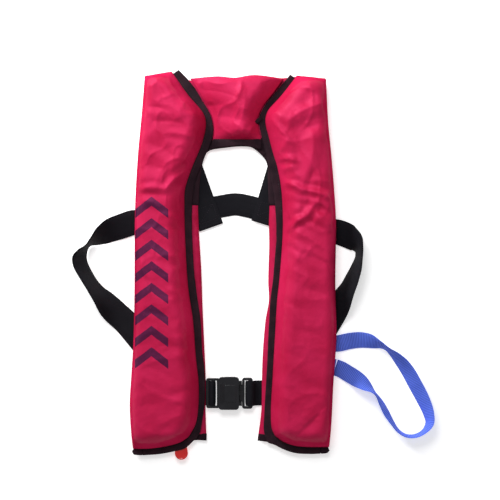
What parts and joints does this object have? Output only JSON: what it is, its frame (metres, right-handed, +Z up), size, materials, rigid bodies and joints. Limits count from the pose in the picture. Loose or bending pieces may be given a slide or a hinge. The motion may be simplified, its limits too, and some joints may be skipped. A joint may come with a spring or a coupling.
{
  "type": "inflatable life jacket",
  "caption": "Horseshoe life jacket lying flat: folded cloth cover with opening flaps over a bladder and gas inflator, webbing harness with side-release buckle and lifting loop.",
  "frame": {"origin": "on the ground under the middle of the jacket, free webbing loops not counted", "axes": "+X to the right seen from above, +Y from the waist towards the collar, +Z up off the ground"},
  "size_m": [0.5408, 0.588, 0.04],
  "materials": {
    "cover_cloth": "coated nylon, soft sheen",
    "binding_tape": "matt woven tape",
    "black_webbing": "ribbed webbing",
    "blue_webbing": "ribbed webbing",
    "bladder_cloth": "coated cloth, satin",
    "silver_tape": "reflective",
    "hook_loop": "matt pile",
    "black_plastic": "semi-gloss moulded",
    "red_plastic": "glossy",
    "orange_plastic": "semi-gloss",
    "green_plastic": "semi-gloss",
    "steel": "brushed",
    "black_cord": "braided cord"
  },
  "bodies": {
    "root": {"back_panel": "cover_cloth", "buckle_socket": "black_plastic", "collar_bladder": "bladder_cloth", "collar_cover_fold": "cover_cloth", "collar_loop_tape": "hook_loop", "indicator_clip": "green_plastic", "inflator_body": "black_plastic", "left_bladder": "bladder_cloth", "left_corner_binding": "binding_tape", "left_cover_fold": "cover_cloth", "left_harness_strap": "black_webbing", "left_loop_tape": "hook_loop", "left_reflective_patch": "silver_tape", "left_side_belt": "black_webbing", "lever_pin": "steel", "lifting_loop": "blue_webbing", "lifting_loop_anchor": "blue_webbing", "oral_tube": "orange_plastic", "oral_tube_base": "black_plastic", "oral_valve": "black_plastic", "right_bladder": "bladder_cloth", "right_corner_binding": "binding_tape", "right_cover_fold": "cover_cloth", "right_harness_strap": "black_webbing", "right_loop_tape": "hook_loop", "right_reflective_patch": "silver_tape", "right_side_belt": "black_webbing", "valve_manifold": "black_plastic", "waist_belt_back": "black_webbing", "waist_belt_front_left": "black_webbing", "waist_belt_front_right": "black_webbing", "whistle": "orange_plastic", "whistle_lanyard": "black_cord"},
    "left_flap": {"left_flap_panel": "cover_cloth", "left_flap_binding": "binding_tape", "left_hook_tape": "hook_loop"},
    "right_flap": {"right_flap_panel": "cover_cloth", "right_flap_binding": "binding_tape", "right_hook_tape": "hook_loop"},
    "collar_flap": {"collar_flap_panel": "cover_cloth", "collar_flap_binding": "binding_tape", "collar_hook_tape": "hook_loop"},
    "buckle_plug": {"buckle_plug": "black_plastic", "plug_belt_end": "black_webbing"},
    "upper_prong": {"upper_prong": "black_plastic"},
    "lower_prong": {"lower_prong": "black_plastic"},
    "pull_handle": {"pull_tab": "red_plastic", "pull_cord": "red_plastic"},
    "inflator_lever": {"inflator_lever": "red_plastic"},
    "gas_cylinder": {"gas_cylinder": "steel"},
    "oral_cap": {"oral_cap": "black_plastic"},
    "valve_plunger": {"valve_plunger": "red_plastic"}
  },
  "joints": [
    {"name": "left_flap_fold", "type": "hinge", "parent": "root", "child": "left_flap", "pos_m": [-0.1295, 0.0035, 0.0402], "axis": [-0.0303, -0.9995, 0], "range_deg": [0, 120]},
    {"name": "right_flap_fold", "type": "hinge", "parent": "root", "child": "right_flap", "pos_m": [0.131, 0.0025, 0.0402], "axis": [-0.0107, 0.9999, 0], "range_deg": [0, 120]},
    {"name": "collar_flap_fold", "type": "hinge", "parent": "root", "child": "collar_flap", "pos_m": [0.005, 0.27, 0.0332], "axis": [-1, 0, 0], "range_deg": [0, 120]},
    {"name": "buckle_slide", "type": "slide", "parent": "root", "child": "buckle_plug", "axis": [1, 0, 0], "range_m": [0, 0.01]},
    {"name": "upper_prong_flex", "type": "hinge", "parent": "buckle_plug", "child": "upper_prong", "pos_m": [0.0128, -0.1777, 0.0083], "axis": [0, 0, 1], "range_deg": [0, 5], "stiffness_Nm_per_rad": 0.2},
    {"name": "lower_prong_flex", "type": "hinge", "parent": "buckle_plug", "child": "lower_prong", "pos_m": [0.0128, -0.2093, 0.0083], "axis": [0, 0, -1], "range_deg": [0, 5], "stiffness_Nm_per_rad": 0.2},
    {"name": "pull_handle_slide", "type": "slide", "parent": "root", "child": "pull_handle", "axis": [0, -1, 0], "range_m": [0, 0.016]},
    {"name": "inflator_lever_pivot", "type": "hinge", "parent": "root", "child": "inflator_lever", "pos_m": [-0.104, -0.246, 0.0107], "axis": [0, 0, -1], "range_deg": [0, 45]},
    {"name": "gas_cylinder_slide", "type": "slide", "parent": "root", "child": "gas_cylinder", "axis": [0, 1, 0], "range_m": [0, 0.014]},
    {"name": "oral_cap_slide", "type": "slide", "parent": "root", "child": "oral_cap", "axis": [0, 1, 0], "range_m": [0, 0.022]},
    {"name": "valve_plunger_push", "type": "slide", "parent": "root", "child": "valve_plunger", "axis": [0, -1, 0], "range_m": [0, 0.003], "stiffness_N_per_m": 60}
  ],
  "couplings": [
    {"joint": "inflator_lever_pivot", "follows": "pull_handle_slide", "rad_per_m": 49}
  ]
}
